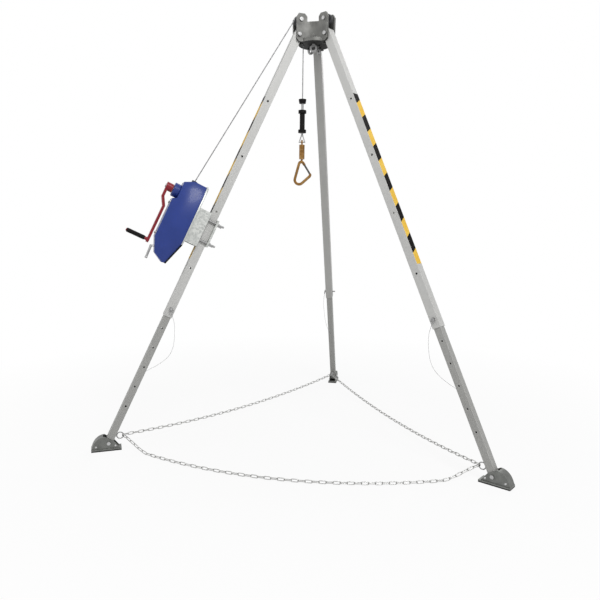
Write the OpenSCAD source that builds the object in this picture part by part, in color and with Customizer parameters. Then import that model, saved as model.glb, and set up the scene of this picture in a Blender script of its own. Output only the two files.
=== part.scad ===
/* [Stance] */
// Height of the point where the leg centre lines start, above the floor
top_z = 2000; // [1900:5:2100]
// Distance of that point from the tripod's axis
top_r = 70; // [66:1:74]
// Lean of each leg from the vertical, in degrees
splay = 25.28; // [24.5:0.1:26]

/* [Legs] */
// Outside width of the square upper tube
tube_w = 40; // [38:0.5:42]
// Wall of both tubes
tube_wall = 3; // [2.5:0.25:3.5]
// Distance along the leg to the lower end of the upper tube
tube_end = 1526; // [1500:2:1550]
// Length of the lower tube that stays inside the upper tube
tube_overlap = 600; // [560:5:640]
// How far a leg can be drawn out past the shown length
draw_out = 300; // [200:5:320]
// Radius of the cross holes in the upper tube
cross_hole_r = 5; // [4:0.25:6]
// Distance between cross holes
cross_hole_pitch = 292; // [280:1:300]

/* [Feet] */
// Length of the sole
sole_l = 134; // [124:1:144]
// Width of the sole
sole_w = 54; // [52:1:60]
// Thickness of the rubber sole
sole_t = 5; // [4:0.5:7]
// Height of the ankle bolt above the floor
ankle_z = 36; // [35:1:40]

/* [Chain] */
// Diameter of the link wire
link_wire = 3.5; // [3:0.25:4]
// Outside width of a link
link_w = 15; // [14.5:0.5:17]
// Links in a run that hangs clear of the floor, an odd number
link_count = 57; // [53:2:59]
// Sag at the middle of a run that hangs clear
chain_sag = 42; // [20:1:45]
// How far the slack front run lies out past a straight line
front_bow = 200; // [150:5:240]

/* [Head] */
// Pitch radius of a sheave
sheave_r = 22; // [20:0.5:23]
// Thickness of a yoke cheek
cheek_t = 11; // [9:0.5:12]
// Diameter of the steel cable
cable_d = 5; // [4:0.25:5.5]

/* [Winch] */
// Distance along the leg to the top of the housing
winch_top = 905; // [895:1:915]
// Width of the housing
winch_w = 150; // [146:1:160]
// Depth of the housing at its deepest
winch_depth = 120; // [116:1:124]
// Distance from the crank shaft to the crank grip
crank_r = 260; // [240:2:270]

/* [Line] */
// Height of the top of the stop cup
stop_z = 1668; // [1640:2:1690]
// Length of the black grip
line_grip_l = 107; // [100:1:115]
// Outside width of the snap hook
hook_w = 90; // [86:1:94]

/* [Hidden] */
$fn = 48;

// Legs in the order left, right, back
SIDES = ["left", "right", "back"];
leg_az = [210, 330, 90];
// The side of each leg that carries the head of its lock pin
pin_side = [1, -1, 1];

// Clearances
run_gap = 0.3;
shaft_gap = 0.05;
fit_gap = 0.05;

// Leg tubes, along the leg from the start of its centre line
pivot_u = 44;
pivot_r = 6;
tube_top = pivot_u - 16;
lower_w = tube_w - 2 * tube_wall - 2 * run_gap;
lower_start = tube_end - tube_overlap;
ankle_u = (top_z - ankle_z) / cos(splay);
lower_end = ankle_u + 12;
pin_u = tube_end - 40;
pin_r = 4;
pin_hole = pin_r + run_gap;
ankle_r = 6;
first_hole = 398;
lower_hole_pitch = 100;

// Feet, measured from the ankle
ankle_x = top_r + (top_z - ankle_z) * tan(splay);
heel_x = -57;
toe_x = heel_x + sole_l;
shoe_h = 68;
shoe_t = 5;
shoe_base = 6;
shoe_inner = lower_w / 2 + 0.8;
shoe_back_h = 44;
wrap_x = 18;
wrap_steps = 10;

// Chain ties, where each hooks to a ring on its leg
ring_z = 62;
ring_r = 15;
ring_wire_r = 2.5;
ring_off = 40;
ring_x = top_r + (top_z - ring_z) * tan(splay) - ring_off;
tie_x = ring_x - ring_r;
tie_gap = ring_wire_r + 1;
tie_z = 2.8;
link_gap = 0.4;
front_link_count = 59;
lie_z = link_w / 2 + run_gap;
lie_part = 0.8;
ring_slope = 0.15;
route_steps = 240;

// Box around the feet and the slack front chain, centred on the origin
reach = ankle_x + toe_x;
front_reach = tie_x * cos(60) + front_bow + link_w / 2;
axis_y = -(reach - front_reach) / 2;

// Head
sheave_x = 80;
sheave_z = top_z + 30;
sheave_rim = sheave_r + 3;
sheave_w = 16;
axle_r = 5;
yoke_gap = tube_w / 2 + 1;
yoke_w = yoke_gap + cheek_t;
hub_bottom = top_z - 72;
flange_top = hub_bottom + 16;
flange_r = 78;
hub_floor = top_z - 34;
hub_top = top_z + 22;
hub_wall = 8;
fold_r = 62;
web_in = 40;
web_out = 50;
cheek_out = 103;
cheek_top = top_z + 57;
cast_boss_r = 8;
cast_boss_z = flange_top + 13;
eye_ring_r = 25;
eye_r = 17.5;
eye_bore = 9.5;
eye_t = 9;
cable_r = cable_d / 2;
groove_r = cable_r + 0.4;
drop_r = sheave_x - sheave_r;

// Winch, across the leg from its centre line
plate_v = 84;
plate_t = 6;
case_v = plate_v + plate_t;
case_end = case_v + winch_depth;
case_wall = 4;
case_side = 60;
case_bevel = 30;
shelf_v = case_end - 18;
plate_end = winch_top + 290;
tip_u = winch_top + 397;
tip_v = case_v + 30;
winch_bottom = winch_top + 400;
bracket_top = winch_top + 95;
bracket_end = winch_top + 265;
bracket_half = 46;
bracket_t = 6;
crank_u = winch_top + 70;
gear_module = 2.5;
pinion_teeth = 16;
idler_teeth = 32;
drum_teeth = 48;
idler_u = crank_u + gear_module * (pinion_teeth + idler_teeth) / 2;
drum_u = idler_u + gear_module * (idler_teeth + drum_teeth) / 2;
gear_v = case_v + 6;
gear_t = 10;
drum_v = gear_v + 16;
drum_l = 46;
drum_core = 36;
drum_flange = 54;
axle_8 = 8;
boss_r = 33;
boss_end = shelf_v + 30;
arm_v = boss_end;
arm_rise = 22;
arm_t = 12;
arm_half = 14;
arm_end = arm_v + arm_rise + arm_t;
grip_shaft_r = 6;
grip_r = 10;
grip_l = 86;
guide_v = 147;
handle_r = 4;
handle_y = 20;
handle_foot = [winch_top + 345, case_end - 18.75];
handle_knee = [winch_top + 350.4, case_end - 5.8];
handle_bar = [winch_top + 408, case_end - 8];
stud_us = [winch_top + 130, winch_top + 231];
stud_y = 29;
stud_r = 5;

// Line
hook_turn = 9.6;
ferrule_z = stop_z - 19;
grip_top = ferrule_z - 33;
grip_bottom = grip_top - line_grip_l;
link_top = grip_bottom - 8;
swivel_ring = link_top - 40.2;
hook_top = link_top - 128;
swivel_r = 13.5;
hook_t = 14;
hook_wall = 13;
stem_r = 5;
stem_gap = 9;
button_r = 8;
gate_pivot = [8.5, -11];
gate_lean = 32.2;
gate_l = 60;
gate_t = 10;
gate_open = 28;
gate_pin_r = 1.5;
knuckle_r = 4.8;
gate_half = 4.5;

// Route of a lanyard: along the leg, outward, and sideways to the pin's head
LANYARD = [
    [1505, -10, 30], [1516, -19, 32], [1531, -32, 33], [1553, -46, 33], [1578, -58, 31],
    [1603, -69, 28], [1628, -78, 25], [1653, -84, 21], [1677, -86, 17], [1700, -83, 13],
    [1722, -75, 9], [1744, -63, 6], [1765, -49, 3], [1785, -33, 1], [1805, -lower_w / 2 - 0.8, 0]
];
lanyard_r = 1;

// Frames: one leg's upright plane, and along its tube with z pointing up the leg
module at_leg(i) translate([0, axis_y, 0]) rotate(leg_az[i]) children();
module leg_frame(i) at_leg(i) translate([top_r, 0, top_z]) rotate([0, -splay, 0]) children();
// A square bar along the leg
module bar(w, from, to) translate([-w / 2, -w / 2, -to]) cube([w, w, to - from]);
// A block between two distances along and across the leg
module block(u0, u1, v0, v1, half_y) translate([v0, -half_y, -u1]) cube([v1 - v0, 2 * half_y, u1 - u0]);
// A round bar across the leg, from side to side
module cross_bar(u, r, half_y) translate([0, 0, -u]) rotate([90, 0, 0])
    cylinder(r = r, h = 2 * half_y, center = true);
// A side view, drawn outward and up the leg, given width across the leg
module side_slab(half_y) rotate([90, 0, 0]) linear_extrude(2 * half_y, center = true) children();
// Outlines drawn along and sideways, raised outward from the leg
module out_from(v) translate([v, 0, 0]) rotate([0, 90, 0]) children();

// Head
module cheek_outline() polygon([
    [web_in, hub_bottom], [cheek_out - 13, hub_bottom], [cheek_out - 2, hub_bottom + 11],
    [cheek_out, cheek_top - 17], [cheek_out - 11, cheek_top], [web_out + 12, cheek_top],
    [web_out, cheek_top - 13], [web_out, hub_top], [web_in, hub_top]
]);

// Six-sided hub, with a flat behind each pair of cheeks
hub_corner = atan2(yoke_w, web_out);
module hub_outline() polygon([for (az = [90, 210, 330]) for (s = [-1, 1])
    norm([web_out, yoke_w]) * [cos(az + s * hub_corner), sin(az + s * hub_corner)]]);

// A block that stops a leg at its splay, carried by a cheek
module splay_stop(side) translate([-tube_w / 2 - run_gap - 12, side * 14.5 - 6.6, 5 - pivot_u])
    cube([12, 13.2, 10]);

module head_flange() difference() {
    translate([0, axis_y, hub_bottom]) cylinder(r = flange_r, h = flange_top - hub_bottom);
    for (i = [0:2]) at_leg(i) translate([fold_r, -yoke_gap, hub_bottom - 1]) cube([40, 2 * yoke_gap, 40]);
}

module head_casting() color("silver") difference() {
    union() {
        translate([0, axis_y, 0]) {
            translate([0, 0, hub_bottom]) linear_extrude(hub_floor - hub_bottom) hub_outline();
            translate([0, 0, hub_floor]) linear_extrude(hub_top - hub_floor) difference() {
                hub_outline();
                offset(delta = -hub_wall) hub_outline();
            }
        }
        head_flange();
        for (i = [0:2]) at_leg(i) {
            for (s = [-1, 1]) translate([0, s * (yoke_gap + cheek_t / 2), 0]) rotate([90, 0, 0])
                linear_extrude(cheek_t, center = true) cheek_outline();
            rotate(60) translate([web_out, 0, cast_boss_z]) rotate([0, 90, 0])
                cylinder(r = cast_boss_r, h = 10);
        }
        for (i = [0:2]) for (s = [-1, 1]) leg_frame(i) splay_stop(s);
    }
    for (i = [0:2]) {
        at_leg(i) translate([drop_r, 0, hub_bottom - 1]) cylinder(r = 7, h = 60);
        at_leg(i) translate([drop_r, -7, hub_bottom - 1]) cube([40, 14, 60]);
        at_sheave(i) cylinder(r = axle_r + fit_gap, h = 100, center = true);
        leg_frame(i) cross_bar(pivot_u, pivot_r + fit_gap, 50);
        at_leg(i) rotate(60) translate([eye_ring_r, 0, hub_bottom - 1]) cylinder(r = 5 + fit_gap, h = 90);
    }
}

module leg_pivot_bolts() color("gray") for (i = [0:2]) leg_frame(i) {
    cross_bar(pivot_u, pivot_r, yoke_w + 8);
    for (s = [-1, 1]) translate([0, s * (yoke_w + 4), -pivot_u]) rotate([90, 0, 0])
        cylinder(r = 10, h = 7, center = true, $fn = 6);
}

module at_sheave(i) at_leg(i) translate([sheave_x, 0, sheave_z]) rotate([90, 0, 0]) children();

module sheave_axles() color("gray") for (i = [0:2]) at_sheave(i) {
    cylinder(r = axle_r, h = 2 * yoke_w + 10, center = true);
    for (s = [-1, 1]) translate([0, 0, s * (yoke_w + 2.7)]) cylinder(r = 9, h = 4.8, center = true);
}

module anchor_eyes() color("lightgray") for (i = [0:2]) at_leg(i) rotate(60) translate([eye_ring_r, 0, 0]) {
    translate([0, 0, hub_bottom - eye_r - 4]) rotate([0, 90, 0]) difference() {
        cylinder(r = eye_r, h = eye_t, center = true);
        cylinder(r = eye_bore, h = eye_t + 2, center = true);
    }
    translate([0, 0, hub_bottom - 5.5]) cylinder(r = 8, h = 5.4);
    translate([0, 0, hub_bottom - 1]) cylinder(r = 5, h = hub_floor - hub_bottom + 12);
    translate([0, 0, hub_floor + 0.1]) cylinder(r = 9, h = 8, $fn = 6);
}

module sheave(i) color("dimgray") at_sheave(i) difference() {
    cylinder(r = sheave_rim, h = sheave_w, center = true);
    rotate_extrude() {
        translate([sheave_r, 0]) circle(r = groove_r);
        polygon([[sheave_r, -groove_r], [sheave_rim + 1, -6], [sheave_rim + 1, 6], [sheave_r, groove_r]]);
    }
    cylinder(r = axle_r + shaft_gap, h = sheave_w + 2, center = true);
}

// Legs
module upper_tube(i) color("gainsboro") leg_frame(i) difference() {
    bar(tube_w, tube_top, tube_end);
    bar(tube_w - 2 * tube_wall, tube_top - 1, tube_end + 1);
    cross_bar(pivot_u, pivot_r + shaft_gap, tube_w);
    cross_bar(pin_u, pin_hole, tube_w);
    for (k = [0:3]) cross_bar(first_hole + k * cross_hole_pitch, cross_hole_r, tube_w);
}

module lower_tube(i) color("darkgray") leg_frame(i) difference() {
    bar(lower_w, lower_start, lower_end);
    bar(lower_w - 2 * tube_wall, lower_start - 1, lower_end + 1);
    block(pin_u - draw_out - pin_hole, pin_u + pin_hole, -pin_hole, pin_hole, tube_w);
    for (k = [1:5]) cross_bar(pin_u + k * lower_hole_pitch, pin_hole, tube_w);
    cross_bar(ankle_u, ankle_r + shaft_gap, tube_w);
}

module chain_eye(i) color("silver") at_leg(i) difference() {
    union() {
        translate([ring_x, 0, ring_z]) rotate([90, 0, 0])
            rotate_extrude() translate([ring_r, 0]) circle(r = ring_wire_r);
        translate([ring_x + ring_r, 0, ring_z]) rotate([0, 90, 0]) cylinder(r = 4, h = ring_off);
    }
    translate([top_r, 0, top_z]) rotate([0, -splay, 0]) bar(lower_w, lower_start, lower_end + 60);
}

// A foot seen from the side: a sloping heel and a rounded wrap down to the toe
module shoe_side() polygon(concat(
    [[heel_x + 4, sole_t], [-22, shoe_back_h], [wrap_x, shoe_h]],
    [for (k = [1:wrap_steps - 2]) let (a = 90 - 90 * k / wrap_steps)
        [wrap_x + (toe_x - wrap_x) * cos(a), -4 + (shoe_h + 4) * sin(a)]],
    [[toe_x, sole_t + 8], [toe_x, sole_t]]
));

module foot(i) color("slategray") at_leg(i) translate([ankle_x, 0, 0]) rotate([90, 0, 0]) difference() {
    union() {
        linear_extrude(2 * shoe_inner + 2 * shoe_t, center = true) shoe_side();
        translate([heel_x, sole_t, -sole_w / 2]) cube([sole_l, shoe_base, sole_w]);
    }
    linear_extrude(2 * shoe_inner, center = true) intersection() {
        offset(delta = -shoe_t) shoe_side();
        translate([-100, sole_t + shoe_base]) square([200, shoe_h]);
    }
    translate([-100, sole_t + shoe_base, -shoe_inner]) cube([100 + wrap_x + 6, shoe_h, 2 * shoe_inner]);
    translate([0, ankle_z, 0]) cylinder(r = ankle_r + fit_gap, h = 100, center = true);
}

module sole(i) color("black") at_leg(i) translate([ankle_x + heel_x, -sole_w / 2, 0])
    cube([sole_l, sole_w, sole_t]);

module ankle_bolt(i) color("silver") at_leg(i) translate([ankle_x, 0, ankle_z]) rotate([90, 0, 0]) {
    cylinder(r = ankle_r, h = 2 * (shoe_inner + shoe_t) + 10, center = true);
    for (s = [-1, 1]) translate([0, 0, s * (shoe_inner + shoe_t + 3.1)])
        cylinder(r = 9, h = 6, center = true, $fn = 6);
}

module lock_pin(i) color("dimgray") leg_frame(i) mirror([0, pin_side[i] < 0 ? 1 : 0, 0]) {
    translate([0, tube_w / 2 + 5, -pin_u]) rotate([90, 0, 0]) cylinder(r = pin_r, h = tube_w + 22);
    translate([0, tube_w / 2 + run_gap, -pin_u]) rotate([-90, 0, 0]) cylinder(r = 8, h = 9);
    translate([-4, tube_w / 2 + 9.5, -pin_u - 9]) rotate([90, 0, 0])
        rotate_extrude() translate([9, 0]) circle(r = 1.4);
}

module lanyard(i) color("silver") leg_frame(i) mirror([0, pin_side[i] < 0 ? 1 : 0, 0])
    tube([for (p = LANYARD) [p[1], p[2], -p[0]]], lanyard_r, 8);

// A round wire along a list of points, closed at both ends
module tube(path, r, sides) {
    n = len(path);
    dirs = [for (k = [0:n - 1]) path[min(k + 1, n - 1)] - path[max(k - 1, 0)]];
    rings = [for (k = [0:n - 1])
        let (d = dirs[k] / norm(dirs[k]), c = cross(d, [0, 1, 0]), a = c / norm(c), b = cross(d, a))
        for (s = [0:sides - 1]) path[k] + r * (cos(360 * s / sides) * a + sin(360 * s / sides) * b)];
    faces = concat(
        [[for (s = [0:sides - 1]) s]],
        [for (k = [0:n - 2]) for (s = [0:sides - 1])
            let (near = k * sides, far = near + sides, next = (s + 1) % sides)
            [near + s, far + s, far + next, near + next]],
        [[for (s = [0:sides - 1]) n * sides - 1 - s]]
    );
    polyhedron(rings, faces);
}

// Chain
chain_half = tie_x * sin(60);
bend_r = link_w / 2 - link_wire / 2;

// Height of a run at a share of its half span: it hangs clear, or drops to the floor and lies there
function hang_z(p, ends) = ring_z + ends[0] + (ends[1] - ends[0]) * (p + 1) / 2 - chain_sag * (1 - p * p);
function drop_part(p) = max(0, (abs(p) - lie_part) / (1 - lie_part));
function lying_z(t, end) = lie_z + (ring_z + end - lie_z) * t * t * (3 - 2 * t)
    + ring_slope * (1 - lie_part) * chain_half * t * t * (t - 1);
function run_point(p, bow, ends) =
    [bow * (1 - p * p), p * chain_half, bow > 0 ? lying_z(drop_part(p), ends[0]) : hang_z(p, ends)];
// Distance gone along a run against the share of its half span
function run_at(k, bow, ends) = run_point(2 * k / route_steps - 1, bow, ends);
function run_table(bow, ends) = [
    for (
        k = 0, gone = 0;
        k <= route_steps;
        k = k + 1, gone = gone + norm(run_at(k, bow, ends) - run_at(k - 1, bow, ends))
    ) [gone, 2 * k / route_steps - 1]
];

module link(inside) {
    straight = inside / 2 + link_wire / 2 - bend_r;
    for (s = [-1, 1]) {
        translate([-straight, s * bend_r, 0]) rotate([0, 90, 0]) cylinder(d = link_wire, h = 2 * straight);
        translate([s * straight, 0, 0]) rotate(s < 0 ? 90 : -90)
            rotate_extrude(angle = 180) translate([bend_r, 0]) circle(d = link_wire);
    }
}

// One run between two legs, as a row of links turned a quarter turn each
module at_run(az) translate([0, axis_y, 0]) rotate(az) translate([tie_x * cos(60), 0, 0]) children();

module chain_run(az, count, bow, ends) color("silver") at_run(az) {
    table = run_table(bow, ends);
    step = (table[route_steps][0] + 2 * tie_gap - link_gap) / count;
    for (k = [0:count - 1]) {
        p = lookup((step + link_gap) / 2 - tie_gap + k * step, table);
        d = run_point(p + 0.001, bow, ends) - run_point(p - 0.001, bow, ends);
        translate(run_point(p, bow, ends)) rotate([0, -atan2(d[2], norm([d[0], d[1]])), atan2(d[1], d[0])])
            rotate([k % 2 == 0 ? 0 : 90, 0, 0]) link(step + link_gap);
    }
}

// Winch, seen from the front and from the side
module case_outline() polygon([
    [winch_top, -48], [winch_top + 45, -winch_w / 2], [winch_top + 275, -winch_w / 2], [winch_bottom, -28],
    [winch_bottom, 28], [winch_top + 275, winch_w / 2], [winch_top + 45, winch_w / 2], [winch_top, 48]
]);

module case_profile() polygon([for (p = [
    [winch_top, case_v], [winch_top, shelf_v], [winch_top + 104, shelf_v], [winch_top + 112, case_end],
    [winch_top + 300, case_end], [winch_top + 372, case_end - 30], [winch_bottom, tip_v + 12],
    [tip_u, tip_v], [plate_end, case_v]
]) [p[1], -p[0]]]);

module plate_profile() polygon([for (p = [
    [winch_top - 4, plate_v], [winch_top - 4, case_v], [plate_end, case_v],
    [tip_u, tip_v], [tip_u + 2, tip_v - 6.3], [plate_end + 1.6, plate_v]
]) [p[1], -p[0]]]);

module case_body(inset) hull() {
    linear_extrude(case_side) offset(delta = -inset) case_outline();
    linear_extrude(winch_depth) offset(delta = -inset - case_bevel) case_outline();
}

module stud_holes(from, length) for (u = stud_us) for (s = [-1, 1])
    translate([from, s * stud_y, -u]) rotate([0, 90, 0]) cylinder(r = stud_r + fit_gap, h = length);

module winch_bracket() color("darkgray") leg_frame(0) difference() {
    union() {
        block(bracket_top, bracket_end, tube_w / 2, tube_w / 2 + bracket_t, bracket_half);
        for (y = [-bracket_half, bracket_half - bracket_t]) translate([tube_w / 2, y, -bracket_end])
            cube([plate_v - tube_w / 2, bracket_t, bracket_end - bracket_top]);
        block(winch_top, bracket_end, plate_v - bracket_t, plate_v, bracket_half);
    }
    stud_holes(0, 40);
}

module clamp_bar() color("gray") leg_frame(0) difference() {
    block(stud_us[0] - 17, stud_us[1] + 17, -tube_w / 2 - 9, -tube_w / 2, 44);
    stud_holes(-60, 60);
}

module clamp_studs() color("silver") leg_frame(0) for (u = stud_us) for (s = [-1, 1])
    translate([0, s * stud_y, -u]) rotate([0, 90, 0]) {
        translate([0, 0, -62]) cylinder(r = stud_r, h = 100);
        translate([0, 0, tube_w / 2 + bracket_t + 0.1]) cylinder(r = 9, h = 8, $fn = 6);
        translate([0, 0, -tube_w / 2 - 17.1]) cylinder(r = 9, h = 8, $fn = 6);
    }

module winch_back_plate() color("black") leg_frame(0) difference() {
    intersection() {
        side_slab(winch_w) plate_profile();
        out_from(plate_v - 1) linear_extrude(50) offset(delta = 4) case_outline();
    }
    for (u = [idler_u, drum_u]) out_from(plate_v - 1) translate([u, 0, 0])
        cylinder(r = axle_8 + fit_gap, h = 10);
}

module winch_housing() color("royalblue") leg_frame(0) difference() {
    intersection() {
        side_slab(winch_w) case_profile();
        out_from(case_v) case_body(0);
    }
    intersection() {
        side_slab(winch_w) for (back = [0, plate_t]) translate([-back, 0])
            offset(delta = -case_wall) case_profile();
        out_from(case_v - 1) case_body(case_wall);
    }
    out_from(case_v) translate([crank_u, 0, 0]) cylinder(r = 14 + fit_gap, h = winch_depth);
    translate([guide_v, 0, -winch_top - 20]) cylinder(r = 9 + fit_gap, h = 40);
}

module housing_screws() color("silver") leg_frame(0) out_from(case_end)
    for (p = [[130, -34], [130, 34], [285, -30], [285, 30]])
        translate([winch_top + p[0], p[1], 0]) cylinder(r = 6, h = 4);

module shaft_bearing() color("royalblue") leg_frame(0) out_from(shelf_v) translate([crank_u, 0, 0])
    difference() {
        union() {
            translate([0, 0, -case_wall]) cylinder(r = 14, h = case_wall + 1);
            cylinder(r = boss_r, h = boss_end - shelf_v);
        }
        translate([0, 0, -10]) cylinder(r = axle_8 + shaft_gap, h = 60);
    }

module cable_guide() color("black") leg_frame(0) translate([guide_v, 0, -winch_top]) difference() {
    union() {
        translate([0, 0, -10]) cylinder(r = 9, h = 12);
        cylinder(r = 13, h = 8);
    }
    translate([0, 0, -20]) cylinder(r = 5.5, h = 40);
}

// A round rod between two points given as distance along, outward and across the leg
module rod(p, q, r) {
    a = [p[1], p[2], -p[0]];
    d = [q[1], q[2], -q[0]] - a;
    translate(a) rotate([0, acos(d[2] / norm(d)), atan2(d[1], d[0])]) cylinder(r = r, h = norm(d));
}

module carry_handle() color("silver") leg_frame(0) {
    for (s = [-1, 1]) {
        foot = concat(handle_foot, s * handle_y);
        knee = concat(handle_knee, s * handle_y);
        end = concat(handle_bar, s * handle_y);
        rod(foot, knee, handle_r);
        rod(knee, end, handle_r);
        for (p = [knee, end]) translate([p[1], p[2], -p[0]]) sphere(r = handle_r + 1, $fn = 24);
    }
    rod(concat(handle_bar, -handle_y), concat(handle_bar, handle_y), handle_r);
}

module gear(teeth) {
    r = gear_module * teeth / 2;
    w = 360 / teeth;
    polygon([for (k = [0:teeth - 1]) for (p = [[-0.30, -3.2], [-0.12, 2.1], [0.12, 2.1], [0.30, -3.2]])
        (r + p[1]) * [cos((k + p[0]) * w), sin((k + p[0]) * w)]]);
}

module gear_axles() color("gray") leg_frame(0) out_from(plate_v) {
    translate([idler_u, 0, 0]) cylinder(r = axle_8, h = gear_v + gear_t + 1 - plate_v);
    translate([drum_u, 0, 0]) cylinder(r = axle_8, h = drum_v + drum_l + 2 - plate_v);
}

module crank_shaft() color("gray") leg_frame(0) out_from(gear_v) translate([crank_u, 0, 0]) {
    linear_extrude(gear_t) gear(pinion_teeth);
    cylinder(r = axle_8, h = arm_end + 4 - gear_v);
}

module idler_gear() color("gray") leg_frame(0) out_from(gear_v) translate([idler_u, 0, 0]) difference() {
    linear_extrude(gear_t) rotate(180 / idler_teeth) gear(idler_teeth);
    translate([0, 0, -1]) cylinder(r = axle_8 + shaft_gap, h = 20);
}

module cable_drum() color("gray") leg_frame(0) out_from(gear_v) translate([drum_u, 0, 0]) difference() {
    union() {
        linear_extrude(gear_t) gear(drum_teeth);
        cylinder(r = drum_core, h = drum_v + drum_l - gear_v);
        for (v = [drum_v, drum_v + drum_l - 4]) translate([0, 0, v - gear_v])
            cylinder(r = drum_flange, h = 4);
    }
    translate([0, 0, -1]) cylinder(r = axle_8 + shaft_gap, h = 100);
}

module cable_winding() color("lightgray") leg_frame(0) out_from(drum_v + 4.2) translate([drum_u, 0, 0])
    difference() {
        cylinder(r = drum_core + 10, h = drum_l - 8.4);
        translate([0, 0, -1]) cylinder(r = drum_core + fit_gap, h = drum_l);
    }

// Crank arm seen from the side, stepping down past the boss
module arm_profile() polygon([for (p = [
    [-arm_half, arm_rise], [48, arm_rise], [88, 0], [crank_r, 0],
    [crank_r, arm_t], [92, arm_t], [52, arm_rise + arm_t], [-arm_half, arm_rise + arm_t]
]) [arm_v + p[1], -crank_u - p[0]]]);

module crank_arm() color("crimson") leg_frame(0) difference() {
    union() {
        side_slab(arm_half) arm_profile();
        out_from(boss_end + 2) translate([crank_u, 0, 0]) cylinder(r = 20, h = arm_end - boss_end - 2);
        out_from(arm_v) translate([crank_u + crank_r, 0, 0]) {
            cylinder(r = arm_half, h = arm_t);
            cylinder(r = axle_8, h = arm_t + 10);
            cylinder(r = grip_shaft_r, h = arm_t + 12 + grip_l + 2);
        }
    }
    out_from(boss_end) translate([crank_u, 0, 0]) cylinder(r = axle_8 + fit_gap, h = 60);
}

module crank_grip() color("black") leg_frame(0) out_from(arm_v + arm_t + 10.5)
    translate([crank_u + crank_r, 0, 0]) difference() {
        cylinder(r = grip_r, h = grip_l);
        translate([0, 0, -1]) cylinder(r = grip_shaft_r + shaft_gap, h = grip_l + 2);
    }

// Cable: up the leg to the sheave, over it, and down
sheave_u = (sheave_x - top_r) * sin(splay) - (sheave_z - top_z) * cos(splay);
sheave_v = (sheave_x - top_r) * cos(splay) + (sheave_z - top_z) * sin(splay);
run_far = norm([guide_v - sheave_v, winch_top - sheave_u]);
run_angle = atan2(winch_top - sheave_u, guide_v - sheave_v) - acos(sheave_r / run_far);
run_l = sqrt(run_far * run_far - sheave_r * sheave_r);
turn_start = splay - run_angle;

module cable_run() color("silver") leg_frame(0)
    translate([sheave_v + sheave_r * cos(run_angle), 0, -sheave_u - sheave_r * sin(run_angle)])
        rotate([0, 180 - (90 - (90 + run_angle)), 0]) cylinder(r = cable_r, h = run_l);

module cable_turn() color("silver") at_sheave(0) rotate(turn_start)
    rotate_extrude(angle = 180 - turn_start) translate([sheave_r, 0]) circle(r = cable_r);

module at_drop() at_leg(0) translate([drop_r, 0, 0]) rotate(hook_turn - leg_az[0]) children();

module cable_drop() color("silver") at_drop() translate([0, 0, stop_z])
    cylinder(r = cable_r, h = sheave_z - stop_z);

// Line
module stop_cup() color("black") at_drop() translate([0, 0, ferrule_z])
    cylinder(r1 = 16, r2 = 19, h = stop_z - ferrule_z);

module ferrule() color("lightgray") at_drop() translate([0, 0, grip_top])
    cylinder(r = 6, h = ferrule_z - grip_top);

module line_grip() color("black") at_drop() {
    translate([0, 0, grip_bottom]) cylinder(r = 12.5, h = line_grip_l);
    for (z = [grip_bottom, grip_top - 14]) translate([0, 0, z]) cylinder(r = 19.5, h = 14);
}

module triangle_link() color("silver") at_drop() {
    translate([0, 0, grip_bottom - 10]) cylinder(r = 5, h = 10);
    translate([0, 0, link_top - 40]) rotate([90, 0, 0]) linear_extrude(6, center = true) difference() {
        polygon([[-17, 0], [17, 0], [5, 40], [-5, 40]]);
        polygon([[-10, 6], [10, 6], [2, 30], [-2, 30]]);
    }
}

module swivel() color("goldenrod") at_drop() difference() {
    union() {
        translate([0, 0, swivel_ring]) rotate([0, 90, 0]) rotate_extrude() translate([11, 0]) circle(r = 4);
        translate([0, 0, hook_top + stem_gap])
            cylinder(r = swivel_r, h = link_top - 50 - hook_top - stem_gap);
    }
    for (z = [14, 54]) translate([0, 0, hook_top + z])
        rotate_extrude() translate([swivel_r, 0]) circle(r = 1.2);
    translate([0, 0, hook_top]) cylinder(r = stem_r + shaft_gap, h = 26);
    translate([0, 0, hook_top + 20]) cylinder(r = button_r + run_gap, h = 7);
}

// Snap hook, drawn in its own plane with the top of the loop at zero
module hook_ring(inset) hull() {
    translate([-2, -16]) circle(r = 18 - inset);
    translate([33 - hook_w / 2, -92]) circle(r = 28 - inset);
    translate([hook_w / 2 - 12, -68]) circle(r = 16 - inset);
}

module gate_bar(half_w, end) rotate(gate_lean) translate([-half_w, -end]) square([2 * half_w, end]);

module hook_body() color("goldenrod") at_drop() translate([0, 0, hook_top]) {
    translate([0, 0, -2]) cylinder(r = stem_r, h = 27);
    translate([0, 0, 20 + run_gap]) cylinder(r = button_r, h = 6);
    rotate([90, 0, 0]) difference() {
        linear_extrude(hook_t, center = true) difference() {
            hook_ring(0, $fn = 32);
            hook_ring(hook_wall, $fn = 32);
            translate(gate_pivot) rotate(gate_lean) translate([-12, -gate_l - run_gap])
                square([24, gate_l - 11]);
        }
        translate([gate_pivot[0], gate_pivot[1], 0]) {
            linear_extrude(gate_t + 2 * run_gap, center = true) {
                circle(r = knuckle_r + run_gap);
                hull() {
                    gate_bar(gate_half + run_gap, 20);
                    rotate(-gate_open) gate_bar(gate_half + run_gap, 20);
                }
            }
            cylinder(r = gate_pin_r + fit_gap, h = 40, center = true);
        }
    }
}

module hook_gate() color("silver") at_drop() translate([0, 0, hook_top]) rotate([90, 0, 0])
    translate(gate_pivot) {
        linear_extrude(gate_t, center = true) {
            circle(r = knuckle_r);
            gate_bar(gate_half, gate_l - 0.6);
        }
        cylinder(r = gate_pin_r, h = hook_t, center = true);
    }

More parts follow.
